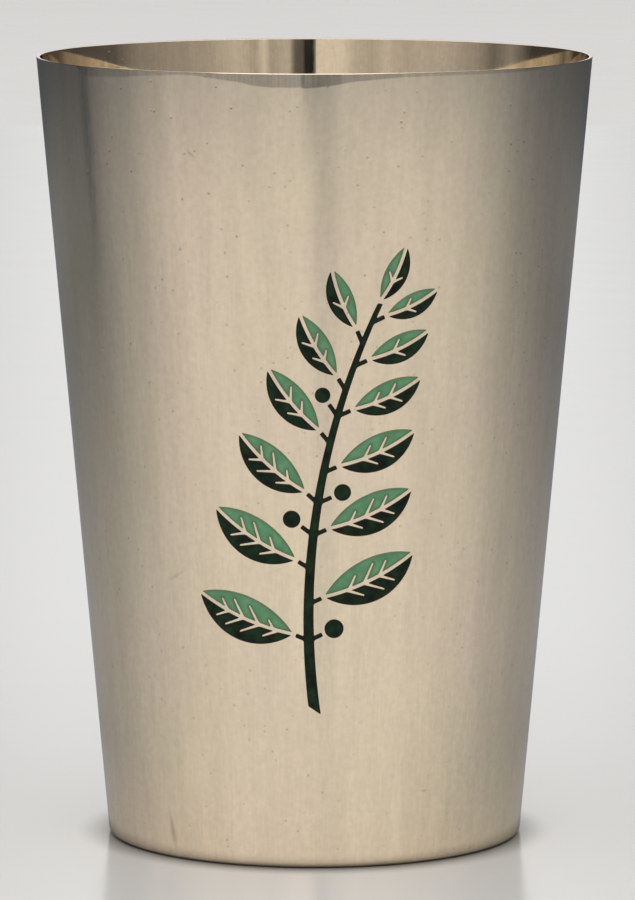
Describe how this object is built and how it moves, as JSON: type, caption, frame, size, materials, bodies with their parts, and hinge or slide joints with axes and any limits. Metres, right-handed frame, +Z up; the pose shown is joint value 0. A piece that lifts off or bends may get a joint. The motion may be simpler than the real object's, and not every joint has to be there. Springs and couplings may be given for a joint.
{
  "type": "julep cup",
  "caption": "Plain tapered metal julep cup with a rounded lip and flat foot, its front inlaid with a two-tone green enamel laurel spray; holds a cold drink.",
  "frame": {"origin": "centre of the flat foot, on the surface that the cup stands on", "axes": "+Z up along the cup's axis to the lip, -Y to the front with the enamel spray, +X to the viewer's right when facing the front"},
  "size_m": [0.0764, 0.0764, 0.108],
  "materials": {
    "silver": "sterling silver, satin polished outside and brighter inside, with a warm tone and fine scratches",
    "solder": "hard silver solder, dressed flush and polished",
    "light_enamel": "glossy vitreous enamel, mid green",
    "dark_enamel": "glossy vitreous enamel, blackish green"
  },
  "bodies": {
    "root": {"cup_wall": "silver", "wall_seam_solder": "solder", "base_disc": "silver", "base_solder_fillet": "solder", "stem": "dark_enamel", "leaf_01_light": "light_enamel", "leaf_02_light": "light_enamel", "leaf_03_light": "light_enamel", "leaf_04_light": "light_enamel", "leaf_05_light": "light_enamel", "leaf_06_light": "light_enamel", "leaf_07_light": "light_enamel", "leaf_08_light": "light_enamel", "leaf_09_light": "light_enamel", "leaf_10_light": "light_enamel", "leaf_11_light": "light_enamel", "leaf_12_light": "light_enamel", "leaf_13_light": "light_enamel", "leaf_01_dark": "dark_enamel", "leaf_02_dark": "dark_enamel", "leaf_03_dark": "dark_enamel", "leaf_04_dark": "dark_enamel", "leaf_05_dark": "dark_enamel", "leaf_06_dark": "dark_enamel", "leaf_07_dark": "dark_enamel", "leaf_08_dark": "dark_enamel", "leaf_09_dark": "dark_enamel", "leaf_10_dark": "dark_enamel", "leaf_11_dark": "dark_enamel", "leaf_12_dark": "dark_enamel", "leaf_13_dark": "dark_enamel", "berry_1": "dark_enamel", "berry_2": "dark_enamel", "berry_3": "dark_enamel", "berry_4": "dark_enamel"}
  },
  "joints": []
}
